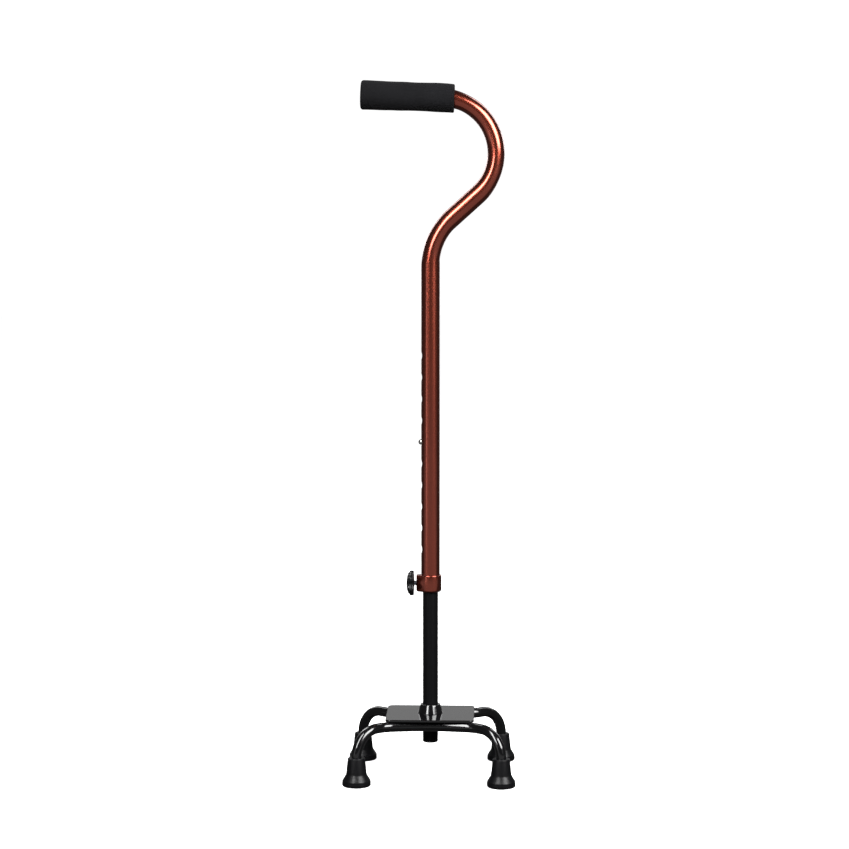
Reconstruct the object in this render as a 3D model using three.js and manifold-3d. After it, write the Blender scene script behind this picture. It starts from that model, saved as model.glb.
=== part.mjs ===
// Quad walking cane: a swan-neck upper shaft that telescopes over a post on a four-footed base.
// Millimetres and degrees. +Z is up, z = 0 is the floor, the shaft runs up the Z axis from the
// middle of the base, and the grip points to -X. The cane is set at the fifth hole from the top.
import * as THREE from "three";
import { mergeVertices } from "three/addons/utils/BufferGeometryUtils.js";
import Module from "manifold-3d";

const wasm = await Module();
wasm.setup();

// ---------------------------------------------------------------- driving dimensions

// Upper shaft: aluminium tube, bent twice into a swan neck.
const SHAFT_OD = 22;
const SHAFT_WALL = 1.2;
const HOLE_COUNT = 10;
const HOLE_PITCH = 25.4;
const REST_HOLE = 5; // counted from the top hole
const END_BELOW_LAST_HOLE = 48;
const BEND_ABOVE_TOP_HOLE = 105;
const LOWER_BEND_RADIUS = 74;
const LOWER_BEND_ANGLE = 48;
const NECK_STRAIGHT = 41;
const HOOK_RADIUS = 64.5;
const GRIP_SLOPE = 2;
const HANDLE_STRAIGHT = 92;
const LOWER_BEND_FLATTENING = 0.05;
const HOOK_FLATTENING = 0.09;

// Foam grip and the plug in the open end of the handle tube.
const GRIP_LENGTH = 109;
const GRIP_WALL_OUTER_END = 6.1;
const GRIP_WALL_WAIST = 5.5;
const GRIP_WALL_INNER_END = 5.6;
const GRIP_EDGE_RADIUS = 3.5;
const PLUG_HEAD = 2;
const PLUG_RECESS = 1;
const PLUG_DEPTH = 14;

// Post: steel tube that the upper shaft slides over.
const POST_LENGTH = 385.3;
const POST_WALL = 1.2;
const POST_DROP = 29.5; // below the underside of the base plate
const BUTTON_FROM_TOP = 30;
const TOP_BUSH_FLANGE = 4;
const TOP_BUSH_DEPTH = 12;
const POST_PLUG_HEAD = 2.2;
const POST_PLUG_DEPTH = 10;

// Snap button and its hairpin leaf spring.
const BUTTON_DIAMETER = 6.6;
const BUTTON_REACH = 3.2; // beyond the outside of the upper shaft
const BUTTON_FLANGE_DIAMETER = 9;
const BUTTON_FLANGE_THICKNESS = 1.3;
const SPRING_THICKNESS = 0.8;
const SPRING_WIDTH = 8;
const SPRING_LENGTH = 60;
const SPRING_PAST_BUTTON = 9;
const SPRING_BEND_RADIUS = 2.5;

// Clamp collar, guide bush and star knob.
const COLLAR_HEIGHT = 20;
const COLLAR_WALL = 2;
const COLLAR_LIP = 1.3;
const COLLAR_EDGE = 1;
const BOSS_LENGTH = 3.5; // beyond the collar's round side
const BOSS_WIDTH = 13;
const BUSH_FLANGE = 1.2;
const BUSH_DEPTH = 24;
const SCREW_DIAMETER = 5.8;
const SCREW_IN_KNOB = 5;
const PAD_DIAMETER = 5.4;
const PAD_LENGTH = 2;
const KNOB_STANDOFF = 2.6;
const KNOB_DIAMETER = 29.8;
const KNOB_LOBES = 6;
const KNOB_LOBE_DEPTH = 3.4;
const KNOB_THICKNESS = 6.6;
const KNOB_EDGE = 1.3;
const KNOB_DOME_DIAMETER = 20;
const KNOB_DOME_RISE = 2.6;

// Base: plate and hub welded to two bent steel leg tubes.
const PLATE_LENGTH = 104;
const PLATE_DEPTH = 88;
const PLATE_THICKNESS = 3;
const PLATE_CORNER = 6;
const HUB_HEIGHT = 11;
const HUB_TOP_WALL = 3.5;
const HUB_BASE_WALL = 5.8;
const LEG_OD = 12;
const LEG_WALL = 1.2;
const LEG_AXIS_HEIGHT = 63.2;
const LEG_UPRIGHT = 0.2; // straight length showing above the rubber tip
const LEG_KNEE_RADIUS = 34;
const LEG_KNEE_STRAIGHT = 3;
const LEG_MIDDLE_RADIUS = 150;
const LEG_SPLAY = 41; // plan angle of the outer runs, from the X axis
const LEG_SWEEP = 10; // plan angle of the middle runs
const FOOT_X = 84;
const FOOT_Y = 69;

// Rubber tips, each with a steel washer under the leg tube.
const TIP_HEIGHT = 33;
const TIP_TOP_WALL = 3.6;
const TIP_TAPER_HEIGHT = 15;
const TIP_TAPER_WALL = 6;
const TIP_FOOT_DIAMETER = 33.4;
const TIP_FOOT_HEIGHT = 6;
const TIP_SOLE_DIAMETER = 29;
const TIP_SOCKET_FLOOR = 8.5;
const WASHER_THICKNESS = 1.5;
const WASHER_BORE = 5;

// Clearances, each on one side.
const TELESCOPE_GAP = 0.8; // between post and upper shaft, taken up by the two bushes
const SLIDING_GAP = 0.15;
const FITTED_GAP = 0.1;
const SEATED_GAP = 0.3; // between pieces that meet in the sloping handle
const HOLE_GAP = 0.4;
const PAD_GAP = 0.05;

// Facets of the round pieces.
const SIDES = 24;
const SMALL_SIDES = 16;
const BEND_STEP = 10;
const CURVE_POINTS = 4;
const LOBE_POINTS = 8;

// ---------------------------------------------------------------- derived sizes

const SHAFT_RADIUS = SHAFT_OD / 2;
const SHAFT_BORE = SHAFT_RADIUS - SHAFT_WALL;
const POST_RADIUS = SHAFT_BORE - TELESCOPE_GAP;
const POST_BORE = POST_RADIUS - POST_WALL;
const LEG_RADIUS = LEG_OD / 2;
const LEG_BORE = LEG_RADIUS - LEG_WALL;
const HOLE_RADIUS = BUTTON_DIAMETER / 2 + HOLE_GAP;
const SCREW_RADIUS = SCREW_DIAMETER / 2;
const SCREW_HOLE = SCREW_RADIUS + HOLE_GAP;

const LEG_DROP_RADIUS = LEG_AXIS_HEIGHT - TIP_HEIGHT - LEG_UPRIGHT;
const PLATE_BOTTOM = LEG_AXIS_HEIGHT + LEG_RADIUS;
const PLATE_TOP = PLATE_BOTTOM + PLATE_THICKNESS;
const POST_BOTTOM = PLATE_BOTTOM - POST_DROP;
const POST_TOP = POST_BOTTOM + POST_LENGTH;
const BUTTON_HEIGHT = POST_TOP - BUTTON_FROM_TOP;

// Heights on the upper shaft are measured from its lower end.
const holeHeight = (number) => END_BELOW_LAST_HOLE + (HOLE_COUNT - number) * HOLE_PITCH;
const BEND_START = holeHeight(1) + BEND_ABOVE_TOP_HOLE;
const COLLAR_BOTTOM = -BUSH_FLANGE - COLLAR_LIP;
const SCREW_HEIGHT = COLLAR_BOTTOM + COLLAR_HEIGHT / 2;
const COLLAR_RADIUS = SHAFT_RADIUS + COLLAR_WALL;
const BOSS_FACE = COLLAR_RADIUS + BOSS_LENGTH;

// ---------------------------------------------------------------- materials

const finish = (color, roughness, metalness) =>
  new THREE.MeshStandardMaterial({ color, roughness, metalness });
const BRONZE_ALUMINIUM = finish("#6b2c1d", 0.28, 0.85);
const BLACK_FOAM = finish("#1c1c1e", 0.95, 0);
const BLACK_PLASTIC = finish("#141414", 0.5, 0);
const BLACK_ENAMEL = finish("#0d0d0e", 0.22, 0.1);
const SATIN_BLACK = finish("#1d1d1f", 0.6, 0.1);
const BLACK_RUBBER = finish("#1a1a1c", 0.8, 0);
const BRIGHT_STEEL = finish("#b9bcc0", 0.3, 1);
const WHITE_NYLON = finish("#d8d6cc", 0.55, 0);

// ---------------------------------------------------------------- geometry helpers

const radians = THREE.MathUtils.degToRad;

// A closed geometry as a solid that can be joined and cut.
function solid(geometry) {
  const bare = geometry.index ? geometry.toNonIndexed() : geometry.clone();
  bare.deleteAttribute("normal");
  bare.deleteAttribute("uv");
  const merged = mergeVertices(bare, 1e-4);
  return new wasm.Manifold(
    new wasm.Mesh({
      numProp: 3,
      vertProperties: merged.attributes.position.array,
      triVerts: new Uint32Array(merged.index.array),
    }),
  );
}

// A solid back as a geometry.
function surface(body) {
  const mesh = body.getMesh();
  const geometry = new THREE.BufferGeometry();
  geometry.setAttribute("position", new THREE.BufferAttribute(mesh.vertProperties, 3));
  geometry.setIndex(new THREE.BufferAttribute(mesh.triVerts, 1));
  geometry.computeVertexNormals();
  return geometry;
}

const cut = (geometry, ...tools) =>
  surface(tools.reduce((body, tool) => body.subtract(solid(tool)), solid(geometry)));

// A profile of [radius, height] points, or a Path, turned round the Z axis.
function turned(profile, sides = SIDES) {
  const points = Array.isArray(profile)
    ? profile.map(([radius, height]) => new THREE.Vector2(radius, height))
    : profile.getPoints(CURVE_POINTS);
  return new THREE.LatheGeometry(points, sides).rotateX(Math.PI / 2);
}

// A round tube or ring standing on the Z axis.
const ring = (bore, radius, bottom, top, sides = SIDES) =>
  turned(
    [
      [bore, bottom],
      [radius, bottom],
      [radius, top],
      [bore, top],
      [bore, bottom],
    ],
    sides,
  );

const rod = (radius, bottom, top, sides = SIDES) =>
  new THREE.CylinderGeometry(radius, radius, top - bottom, sides)
    .rotateX(Math.PI / 2)
    .translate(0, 0, (bottom + top) / 2);

// Turns a piece that stands on +Z so that it points to -X, at a height.
const crosswise = (geometry, height = 0) =>
  geometry.rotateY(-Math.PI / 2).translate(0, 0, height);

// A centreline of straights and bends, with one station for each ring of the tube along it.
class BentLine extends THREE.Curve {
  constructor(start, heading) {
    super();
    this.points = [start.clone()];
    this.headings = [heading.clone().normalize()];
  }
  get steps() {
    return this.points.length - 1;
  }
  straight(length) {
    const heading = this.headings.at(-1);
    this.points.push(this.points.at(-1).clone().addScaledVector(heading, length));
    this.headings.push(heading.clone());
    return this;
  }
  // A positive angle turns the heading round the axis by the right-hand rule.
  bend(radius, angle, axis) {
    const start = this.points.at(-1);
    const heading = this.headings.at(-1);
    const inward = axis.clone().cross(heading).multiplyScalar(Math.sign(angle));
    const centre = start.clone().addScaledVector(inward, radius);
    const count = Math.max(2, Math.ceil(Math.abs(angle) / BEND_STEP));
    for (let i = 1; i <= count; i++) {
      const turn = radians((angle * i) / count);
      this.points.push(start.clone().sub(centre).applyAxisAngle(axis, turn).add(centre));
      this.headings.push(heading.clone().applyAxisAngle(axis, turn));
    }
    return this;
  }
  getPoint(t) {
    return this.points[Math.round(t * this.steps)].clone();
  }
  getTangent(t) {
    return this.headings[Math.round(t * this.steps)].clone();
  }
  getPointAt(u) {
    return this.getPoint(u);
  }
  getTangentAt(u) {
    return this.getTangent(u);
  }
}

// A line through corners, each rounded to its radius.
function roundedLine(corners, radii) {
  const heading = (i) => corners[i + 1].clone().sub(corners[i]).normalize();
  const line = new BentLine(corners[0], heading(0));
  let spent = 0;
  radii.forEach((radius, i) => {
    const angle = heading(i).angleTo(heading(i + 1));
    const trim = radius * Math.tan(angle / 2);
    line.straight(corners[i].distanceTo(corners[i + 1]) - spent - trim);
    const axis = heading(i).cross(heading(i + 1)).normalize();
    line.bend(radius, THREE.MathUtils.radToDeg(angle), axis);
    spent = trim;
  });
  return line.straight(corners.at(-1).distanceTo(corners.at(-2)) - spent);
}

// A round tube, or a rod when the bore is 0, along a centreline.
function tubeAlong(line, radius, bore, sides) {
  const section = new THREE.Shape().absarc(0, 0, radius, 0, 2 * Math.PI, false);
  if (bore > 0)
    section.holes.push(new THREE.Path().absarc(0, 0, bore, 0, 2 * Math.PI, true));
  return new THREE.ExtrudeGeometry(section, {
    curveSegments: sides / 2,
    steps: line.steps,
    extrudePath: line,
  });
}

// Bending flattens a tube towards its centreline. The amount fades in and out at the bend's ends.
function flatten(geometry, { centre, radius, from, sweep, share }) {
  const position = geometry.attributes.position;
  for (let i = 0; i < position.count; i++) {
    const x = position.getX(i) - centre.x;
    const z = position.getZ(i) - centre.z;
    const reach = Math.hypot(x, z);
    const angle = (Math.atan2(z, x) - from) * Math.sign(sweep);
    const along = THREE.MathUtils.euclideanModulo(angle, 2 * Math.PI) / Math.abs(sweep);
    if (along > 1 || Math.abs(reach - radius) > SHAFT_RADIUS + 1) continue;
    const fade = THREE.MathUtils.smoothstep(Math.min(along, 1 - along), 0, 0.2);
    const pressed = radius + (reach - radius) * (1 - share * fade);
    position.setX(i, centre.x + (x * pressed) / reach);
    position.setZ(i, centre.z + (z * pressed) / reach);
  }
  return geometry;
}

const root = new THREE.Group();
const upper = new THREE.Group();
const handle = new THREE.Group();
upper.position.z = BUTTON_HEIGHT - holeHeight(REST_HOLE);
root.add(upper);
upper.add(handle);

function add(group, name, geometry, material) {
  const mesh = new THREE.Mesh(geometry, material);
  mesh.name = name;
  group.add(mesh);
  return mesh;
}

// ---------------------------------------------------------------- upper shaft

const ACROSS = new THREE.Vector3(0, 1, 0);
const HOOK_SWEEP = LOWER_BEND_ANGLE + 90 - GRIP_SLOPE;

// The neck's centreline up to the start of the handle's straight.
const neckLine = () =>
  new BentLine(new THREE.Vector3(), new THREE.Vector3(0, 0, 1))
    .straight(BEND_START)
    .bend(LOWER_BEND_RADIUS, LOWER_BEND_ANGLE, ACROSS)
    .straight(NECK_STRAIGHT)
    .bend(HOOK_RADIUS, -HOOK_SWEEP, ACROSS);

const lowerBend = {
  centre: new THREE.Vector3(LOWER_BEND_RADIUS, 0, BEND_START),
  radius: LOWER_BEND_RADIUS,
  from: Math.PI,
  sweep: -radians(LOWER_BEND_ANGLE),
  share: LOWER_BEND_FLATTENING,
};
const handleStart = neckLine().points.at(-1);
const handleHeading = neckLine().headings.at(-1);
const hook = {
  centre: handleStart
    .clone()
    .addScaledVector(handleHeading.clone().cross(ACROSS), HOOK_RADIUS),
  radius: HOOK_RADIUS,
  from: -radians(LOWER_BEND_ANGLE),
  sweep: radians(HOOK_SWEEP),
  share: HOOK_FLATTENING,
};

function upperShaft() {
  const line = neckLine().straight(HANDLE_STRAIGHT);
  const tube = tubeAlong(line, SHAFT_RADIUS, SHAFT_BORE, SIDES);
  flatten(tube, lowerBend);
  flatten(tube, hook);
  const holes = [];
  for (let number = 1; number <= HOLE_COUNT; number++)
    holes.push(crosswise(rod(HOLE_RADIUS, 0, SHAFT_OD, SMALL_SIDES), holeHeight(number)));
  const screwHole = crosswise(rod(SCREW_HOLE, 0, SHAFT_OD, SMALL_SIDES), SCREW_HEIGHT);
  return cut(tube, ...holes, screwHole);
}
add(upper, "upper_shaft", upperShaft(), BRONZE_ALUMINIUM);

// ---------------------------------------------------------------- handle

// In the handle's own frame the tube runs along +Z and ends at z = 0.
handle.position.copy(handleStart).addScaledVector(handleHeading, HANDLE_STRAIGHT);
handle.rotation.y = -radians(90 - GRIP_SLOPE);
handle.updateMatrix();

const GRIP_END = SEATED_GAP + PLUG_HEAD + PLUG_RECESS;

function foamGrip() {
  const start = GRIP_END - GRIP_LENGTH;
  const inner = SHAFT_RADIUS + GRIP_WALL_INNER_END;
  const waist = SHAFT_RADIUS + GRIP_WALL_WAIST;
  const outer = SHAFT_RADIUS + GRIP_WALL_OUTER_END;
  const edge = GRIP_EDGE_RADIUS;
  const profile = new THREE.Path()
    .moveTo(0, start)
    .lineTo(inner - edge, start)
    .absarc(inner - edge, start + edge, edge, -Math.PI / 2, 0, false)
    .quadraticCurveTo(waist, start + GRIP_LENGTH / 2, outer, GRIP_END - edge)
    .absarc(outer - edge, GRIP_END - edge, edge, 0, Math.PI / 2, false)
    .lineTo(0, GRIP_END);
  const boreLine = neckLine().straight(HANDLE_STRAIGHT + GRIP_LENGTH);
  const bore = tubeAlong(boreLine, SHAFT_RADIUS + SEATED_GAP, 0, SIDES);
  return cut(turned(profile), bore.applyMatrix4(handle.matrix.clone().invert()));
}
add(handle, "handle_grip", foamGrip(), BLACK_FOAM);

function endPlug() {
  const spigot = SHAFT_BORE - SEATED_GAP;
  const head = SEATED_GAP + PLUG_HEAD;
  const dome = PLUG_HEAD / 2;
  return turned(
    new THREE.Path()
      .moveTo(0, -PLUG_DEPTH)
      .lineTo(spigot - 1, -PLUG_DEPTH)
      .lineTo(spigot, 1 - PLUG_DEPTH)
      .lineTo(spigot, SEATED_GAP)
      .lineTo(SHAFT_RADIUS, SEATED_GAP)
      .lineTo(SHAFT_RADIUS, head - dome)
      .quadraticCurveTo(SHAFT_RADIUS, head, 0, head),
  );
}
add(handle, "handle_end_plug", endPlug(), BLACK_PLASTIC);

// ---------------------------------------------------------------- collar and lock knob

// The collar seen from above: a round ring drawn out to the flat face of the screw boss.
function clampCollar() {
  const halfBoss = BOSS_WIDTH / 2;
  const reach = Math.hypot(BOSS_FACE, halfBoss);
  const touch = Math.PI - Math.atan2(halfBoss, BOSS_FACE) - Math.acos(COLLAR_RADIUS / reach);
  const inset = COLLAR_EDGE;
  const outline = new THREE.Shape()
    .moveTo(-BOSS_FACE, -halfBoss)
    .absarc(0, 0, COLLAR_RADIUS, -touch, touch, false)
    .lineTo(-BOSS_FACE, halfBoss)
    .lineTo(-BOSS_FACE, -halfBoss);
  const body = new THREE.ExtrudeGeometry(outline, {
    depth: COLLAR_HEIGHT - 2 * inset,
    bevelThickness: inset,
    bevelSize: inset,
    bevelOffset: -inset,
    bevelSegments: 2,
    curveSegments: SIDES / 2,
  }).translate(0, 0, COLLAR_BOTTOM + inset);
  const seat = rod(SHAFT_RADIUS + FITTED_GAP, -BUSH_FLANGE, COLLAR_HEIGHT);
  const mouth = rod(POST_RADIUS + 2 * SLIDING_GAP, COLLAR_BOTTOM - 1, COLLAR_HEIGHT);
  const screwHole = crosswise(rod(SCREW_HOLE, 0, 2 * BOSS_FACE, SMALL_SIDES), SCREW_HEIGHT);
  return cut(body, seat, mouth, screwHole);
}
add(upper, "clamp_collar", clampCollar(), BRONZE_ALUMINIUM);

function guideBush() {
  const bore = POST_RADIUS + SLIDING_GAP;
  const sleeve = SHAFT_BORE - FITTED_GAP;
  const bush = turned([
    [bore, -BUSH_FLANGE],
    [SHAFT_RADIUS, -BUSH_FLANGE],
    [SHAFT_RADIUS, 0],
    [sleeve, 0],
    [sleeve, BUSH_DEPTH],
    [bore, BUSH_DEPTH],
    [bore, -BUSH_FLANGE],
  ]);
  return cut(bush, crosswise(rod(SCREW_HOLE, 0, SHAFT_OD, SMALL_SIDES), SCREW_HEIGHT));
}
add(upper, "guide_bush", guideBush(), WHITE_NYLON);

// The lock's own frame: +Z is the screw's axis, pointing away from the shaft to -X.
const lock = new THREE.Group();
lock.position.z = SCREW_HEIGHT;
lock.rotation.y = -Math.PI / 2;
upper.add(lock);

const PAD_FACE = POST_RADIUS + PAD_GAP;
const SCREW_END = PAD_FACE + PAD_LENGTH + PAD_GAP;
const KNOB_BACK = BOSS_FACE + KNOB_STANDOFF;
const KNOB_FACE = KNOB_BACK + KNOB_THICKNESS;

add(lock, "lock_pad", rod(PAD_DIAMETER / 2, PAD_FACE, PAD_FACE + PAD_LENGTH, SMALL_SIDES), WHITE_NYLON);
add(lock, "lock_screw", rod(SCREW_RADIUS, SCREW_END, KNOB_BACK + SCREW_IN_KNOB, SMALL_SIDES), BRIGHT_STEEL);

function starKnob() {
  const middle = (KNOB_DIAMETER - KNOB_LOBE_DEPTH) / 2;
  const points = [];
  for (let i = 0; i < KNOB_LOBES * LOBE_POINTS; i++) {
    const angle = (2 * Math.PI * i) / (KNOB_LOBES * LOBE_POINTS);
    const radius = middle + (KNOB_LOBE_DEPTH / 2) * Math.cos(KNOB_LOBES * angle);
    points.push(new THREE.Vector2(radius * Math.cos(angle), radius * Math.sin(angle)));
  }
  const star = new THREE.ExtrudeGeometry(new THREE.Shape(points), {
    depth: KNOB_THICKNESS - 2 * KNOB_EDGE,
    bevelThickness: KNOB_EDGE,
    bevelSize: KNOB_EDGE,
    bevelOffset: -KNOB_EDGE,
    bevelSegments: 2,
  }).translate(0, 0, KNOB_BACK + KNOB_EDGE);
  const dome = turned(
    new THREE.Path()
      .moveTo(0, KNOB_FACE - 1)
      .lineTo(KNOB_DOME_DIAMETER / 2, KNOB_FACE - 1)
      .quadraticCurveTo(KNOB_DOME_DIAMETER / 3, KNOB_FACE + KNOB_DOME_RISE, 0, KNOB_FACE + KNOB_DOME_RISE),
  );
  const socket = rod(
    SCREW_RADIUS + FITTED_GAP,
    KNOB_BACK - 1,
    KNOB_BACK + SCREW_IN_KNOB + FITTED_GAP,
    SMALL_SIDES,
  );
  return surface(solid(star).add(solid(dome)).subtract(solid(socket)));
}
add(lock, "lock_knob", starKnob(), BLACK_PLASTIC);

// ---------------------------------------------------------------- post

function lowerShaft() {
  const hole = crosswise(rod(HOLE_RADIUS - FITTED_GAP, 0, SHAFT_OD, SMALL_SIDES), BUTTON_HEIGHT);
  return cut(ring(POST_BORE, POST_RADIUS, POST_BOTTOM, POST_TOP), hole);
}
add(root, "lower_shaft", lowerShaft(), SATIN_BLACK);

// A hollow plug: a spigot inside the post and a head over its end, both open through the middle.
function topBush() {
  const spigot = POST_BORE - FITTED_GAP;
  const bore = spigot - 2;
  return turned([
    [bore, POST_TOP - TOP_BUSH_DEPTH],
    [spigot, POST_TOP - TOP_BUSH_DEPTH],
    [spigot, POST_TOP],
    [SHAFT_BORE - SLIDING_GAP, POST_TOP],
    [SHAFT_BORE - SLIDING_GAP, POST_TOP + TOP_BUSH_FLANGE],
    [bore, POST_TOP + TOP_BUSH_FLANGE],
    [bore, POST_TOP - TOP_BUSH_DEPTH],
  ]);
}
add(root, "lower_shaft_top_bush", topBush(), WHITE_NYLON);

function postPlug() {
  const spigot = POST_BORE - FITTED_GAP;
  const bottom = POST_BOTTOM - POST_PLUG_HEAD;
  return turned([
    [0, bottom],
    [POST_RADIUS - 1, bottom],
    [POST_RADIUS, bottom + 1],
    [POST_RADIUS, POST_BOTTOM],
    [spigot, POST_BOTTOM],
    [spigot, POST_BOTTOM + POST_PLUG_DEPTH],
    [0, POST_BOTTOM + POST_PLUG_DEPTH],
  ]);
}
add(root, "shaft_bottom_plug", postPlug(), BLACK_PLASTIC);

// ---------------------------------------------------------------- snap button

// How far from the post's axis a flat piece of this width can reach inside the faceted bore.
const reachInPost = (width) =>
  Math.sqrt((POST_BORE * Math.cos(Math.PI / SIDES)) ** 2 - (width / 2) ** 2);
const FLANGE_FACE = reachInPost(BUTTON_FLANGE_DIAMETER) - SLIDING_GAP;
const FLANGE_BACK = FLANGE_FACE - BUTTON_FLANGE_THICKNESS;

function snapButton() {
  const radius = BUTTON_DIAMETER / 2;
  const flange = BUTTON_FLANGE_DIAMETER / 2;
  const tip = SHAFT_RADIUS + BUTTON_REACH;
  const profile = new THREE.Path()
    .moveTo(0, FLANGE_BACK)
    .lineTo(flange, FLANGE_BACK)
    .lineTo(flange, FLANGE_FACE)
    .lineTo(radius, FLANGE_FACE)
    .lineTo(radius, SHAFT_RADIUS)
    .bezierCurveTo(radius, tip - BUTTON_REACH / 3, radius / 2, tip, 0, tip);
  return crosswise(turned(profile, SMALL_SIDES), BUTTON_HEIGHT);
}
add(root, "snap_button", snapButton(), BRIGHT_STEEL);

// A hairpin strip: one leaf behind the button, the other against the far wall of the post.
function snapSpring() {
  const half = SPRING_THICKNESS / 2;
  const top = BUTTON_HEIGHT + SPRING_PAST_BUTTON;
  const bottom = top - SPRING_LENGTH;
  const farWall = reachInPost(SPRING_WIDTH) - SLIDING_GAP;
  const bendX = (farWall - FLANGE_BACK) / 2;
  const left = bendX - SPRING_BEND_RADIUS;
  const right = bendX + SPRING_BEND_RADIUS;
  const leafTip = -(FLANGE_BACK - half - SEATED_GAP);
  const outline = new THREE.Shape()
    .moveTo(leafTip - half, top)
    .lineTo(left - half, bottom)
    .absarc(bendX, bottom, SPRING_BEND_RADIUS + half, Math.PI, 2 * Math.PI, false)
    .lineTo(farWall, top)
    .lineTo(farWall - SPRING_THICKNESS, top)
    .lineTo(right - half, bottom)
    .absarc(bendX, bottom, SPRING_BEND_RADIUS - half, 2 * Math.PI, Math.PI, true)
    .lineTo(leafTip + half, top);
  return new THREE.ExtrudeGeometry(outline, {
    depth: SPRING_WIDTH,
    bevelEnabled: false,
    curveSegments: CURVE_POINTS,
  })
    .rotateX(Math.PI / 2)
    .translate(0, SPRING_WIDTH / 2, 0);
}
add(root, "snap_spring", snapSpring(), BRIGHT_STEEL);

// ---------------------------------------------------------------- base

function basePlate() {
  const x = PLATE_LENGTH / 2 - PLATE_CORNER;
  const y = PLATE_DEPTH / 2 - PLATE_CORNER;
  const quarter = Math.PI / 2;
  const outline = new THREE.Shape();
  [
    [x, y],
    [-x, y],
    [-x, -y],
    [x, -y],
  ].forEach(([cx, cy], i) => {
    outline.absarc(cx, cy, PLATE_CORNER, i * quarter, (i + 1) * quarter, false);
  });
  const plate = new THREE.ExtrudeGeometry(outline, {
    depth: PLATE_THICKNESS,
    bevelEnabled: false,
    curveSegments: CURVE_POINTS,
  }).translate(0, 0, PLATE_BOTTOM);
  return cut(plate, rod(POST_RADIUS + FITTED_GAP, PLATE_BOTTOM - 1, PLATE_TOP + 1));
}
add(root, "base_plate", basePlate(), BLACK_ENAMEL);

function baseHub() {
  const bore = POST_RADIUS + FITTED_GAP;
  const top = PLATE_TOP + HUB_HEIGHT;
  const topRadius = POST_RADIUS + HUB_TOP_WALL;
  const baseRadius = POST_RADIUS + HUB_BASE_WALL;
  return turned(
    new THREE.Path()
      .moveTo(bore, PLATE_TOP)
      .lineTo(baseRadius, PLATE_TOP)
      .quadraticCurveTo(topRadius, PLATE_TOP + HUB_HEIGHT / 4, topRadius, top - 1)
      .lineTo(topRadius - 1, top)
      .lineTo(bore, top)
      .lineTo(bore, PLATE_TOP),
  );
}
add(root, "base_hub", baseHub(), BLACK_ENAMEL);

// Each leg tube rises from one tip, runs in under the plate and out to the next tip.
const LEG_END = TIP_SOCKET_FLOOR + WASHER_THICKNESS;

function legTube(side) {
  const kneeTrim = LEG_KNEE_RADIUS * Math.tan(radians(LEG_SPLAY - LEG_SWEEP) / 2);
  const outerRun = LEG_DROP_RADIUS + LEG_KNEE_STRAIGHT + kneeTrim;
  const kneeX = FOOT_X - outerRun * Math.cos(radians(LEG_SPLAY));
  const kneeY = FOOT_Y - outerRun * Math.sin(radians(LEG_SPLAY));
  const middleY = kneeY - kneeX * Math.tan(radians(LEG_SWEEP));
  const corner = (x, y, z) => new THREE.Vector3(x, side * y, z);
  const half = (sign) => [
    corner(sign * FOOT_X, FOOT_Y, LEG_END),
    corner(sign * FOOT_X, FOOT_Y, LEG_AXIS_HEIGHT),
    corner(sign * kneeX, kneeY, LEG_AXIS_HEIGHT),
  ];
  const corners = [...half(-1), corner(0, middleY, LEG_AXIS_HEIGHT), ...half(1).reverse()];
  const radii = [LEG_DROP_RADIUS, LEG_KNEE_RADIUS, LEG_MIDDLE_RADIUS, LEG_KNEE_RADIUS, LEG_DROP_RADIUS];
  return tubeAlong(roundedLine(corners, radii), LEG_RADIUS, LEG_BORE, SMALL_SIDES);
}
add(root, "front_leg_tube", legTube(-1), BLACK_ENAMEL);
add(root, "rear_leg_tube", legTube(1), BLACK_ENAMEL);

// ---------------------------------------------------------------- rubber tips

function rubberTip() {
  const socket = LEG_RADIUS + FITTED_GAP;
  const topRadius = LEG_RADIUS + TIP_TOP_WALL;
  const taperRadius = LEG_RADIUS + TIP_TAPER_WALL;
  const footRadius = TIP_FOOT_DIAMETER / 2;
  const soleRadius = TIP_SOLE_DIAMETER / 2;
  return turned(
    new THREE.Path()
      .moveTo(0, 0)
      .lineTo(soleRadius, 0)
      .quadraticCurveTo(footRadius, 0, footRadius, TIP_FOOT_HEIGHT / 2)
      .lineTo(footRadius, TIP_FOOT_HEIGHT)
      .quadraticCurveTo(taperRadius + 1, TIP_FOOT_HEIGHT + 2, taperRadius, TIP_TAPER_HEIGHT)
      .lineTo(topRadius, TIP_HEIGHT - 1)
      .lineTo(topRadius - 1, TIP_HEIGHT)
      .lineTo(socket, TIP_HEIGHT)
      .lineTo(socket, TIP_SOCKET_FLOOR)
      .lineTo(0, TIP_SOCKET_FLOOR),
    SMALL_SIDES,
  );
}

const tipWasher = () =>
  ring(WASHER_BORE / 2, LEG_RADIUS - FITTED_GAP, TIP_SOCKET_FLOOR, LEG_END, SMALL_SIDES);

for (const [end, y] of [
  ["front", -FOOT_Y],
  ["rear", FOOT_Y],
]) {
  for (const [hand, x] of [
    ["left", -FOOT_X],
    ["right", FOOT_X],
  ]) {
    add(root, `${end}_${hand}_tip`, rubberTip(), BLACK_RUBBER).position.set(x, y, 0);
    add(root, `${end}_${hand}_tip_washer`, tipWasher(), BRIGHT_STEEL).position.set(x, y, 0);
  }
}

export default root;
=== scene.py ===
import math

import bmesh
import bpy
from mathutils import Matrix, Vector, noise


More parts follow.
